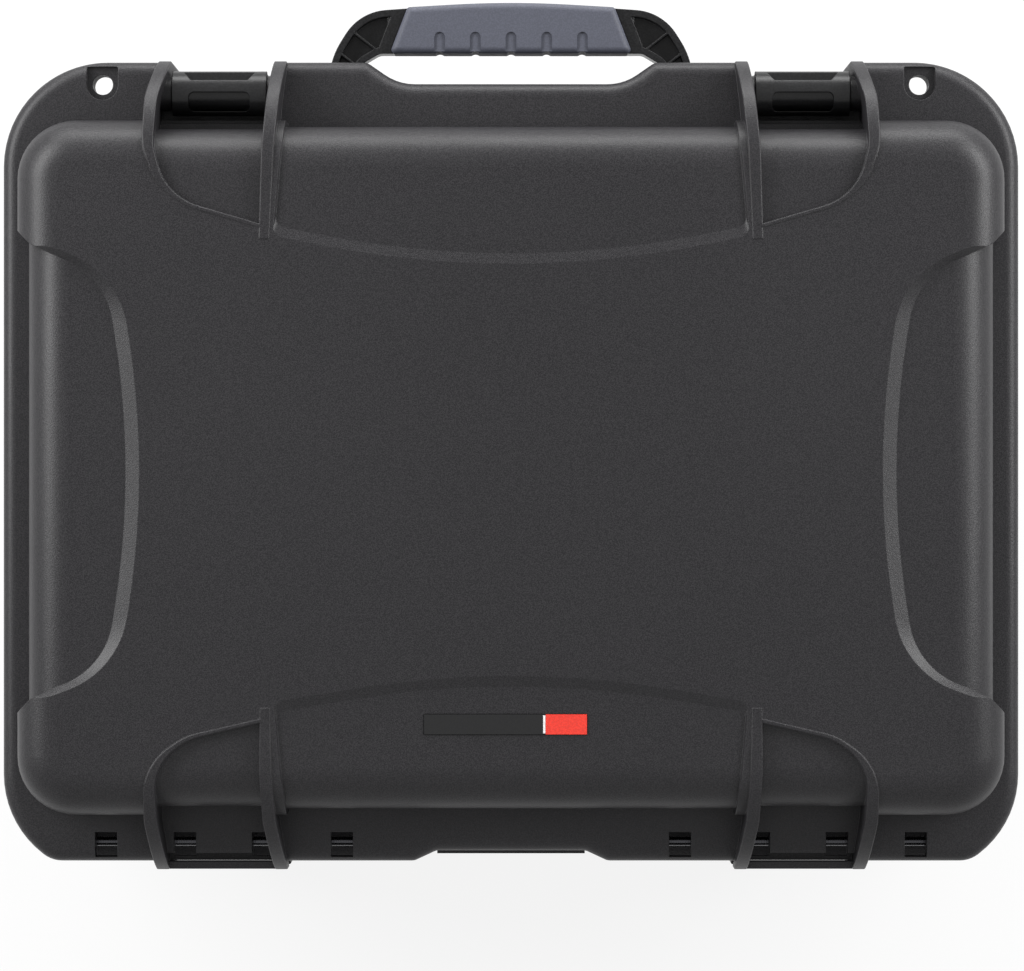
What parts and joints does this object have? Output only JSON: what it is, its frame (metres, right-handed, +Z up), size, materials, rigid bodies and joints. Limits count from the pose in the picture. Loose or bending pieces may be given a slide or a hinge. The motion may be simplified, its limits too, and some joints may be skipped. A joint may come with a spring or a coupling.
{
  "type": "hard case",
  "caption": "Rigid moulded equipment case with a hinged ribbed lid, lever latches, padlock eyes and a folding carry handle with a soft grip.",
  "frame": {"origin": "centre of the underside of the base, where the closed case lies on a floor", "axes": "+X along the width, +Z up towards the lid; latches and handle face -Y and the hinge is at +Y"},
  "size_m": [0.505, 0.4328, 0.1909],
  "materials": {
    "shell": "fine moulded grain",
    "latch": "fine moulded grain",
    "handle": "satin",
    "grip": "matte",
    "seal": "matte",
    "pin": "turned",
    "plate": "gloss",
    "tab": "gloss",
    "vent": "satin",
    "membrane": "woven"
  },
  "bodies": {
    "base": {"base_shell": "shell", "hinge_pin_left": "pin", "hinge_pin_right": "pin", "handle_pin_left": "pin", "handle_pin_right": "pin", "vent_cap": "vent", "vent_body": "vent", "vent_ring": "seal", "vent_membrane": "membrane", "vent_nut": "vent"},
    "lid": {"lid_shell": "shell", "lid_gasket": "seal", "name_plate": "plate", "name_plate_tab": "tab", "latch_pin_left": "pin", "latch_pin_right": "pin"},
    "latch_left": {"latch_lever_left": "latch"},
    "latch_right": {"latch_lever_right": "latch"},
    "lock_left": {"slide_lock_left": "latch"},
    "lock_right": {"slide_lock_right": "latch"},
    "handle": {"handle_frame": "handle", "handle_grip": "grip"}
  },
  "joints": [
    {"name": "lid_hinge", "type": "hinge", "parent": "base", "child": "lid", "pos_m": [0, 0.1894, 0.136], "axis": [-1, 0, 0], "range_deg": [0, 105]},
    {"name": "latch_left", "type": "hinge", "parent": "lid", "child": "latch_left", "pos_m": [0, -0.1825, 0.149], "axis": [-1, 0, 0], "range_deg": [-6, 100]},
    {"name": "slide_lock_left", "type": "slide", "parent": "latch_left", "child": "lock_left", "axis": [0, 0, -1], "range_m": [0, 0.006]},
    {"name": "latch_right", "type": "hinge", "parent": "lid", "child": "latch_right", "pos_m": [0, -0.1825, 0.149], "axis": [-1, 0, 0], "range_deg": [-6, 100]},
    {"name": "slide_lock_right", "type": "slide", "parent": "latch_right", "child": "lock_right", "axis": [0, 0, -1], "range_m": [0, 0.006]},
    {"name": "handle_fold", "type": "hinge", "parent": "base", "child": "handle", "pos_m": [0, -0.1856, 0.112], "axis": [1, 0, 0], "range_deg": [0, 90]}
  ]
}
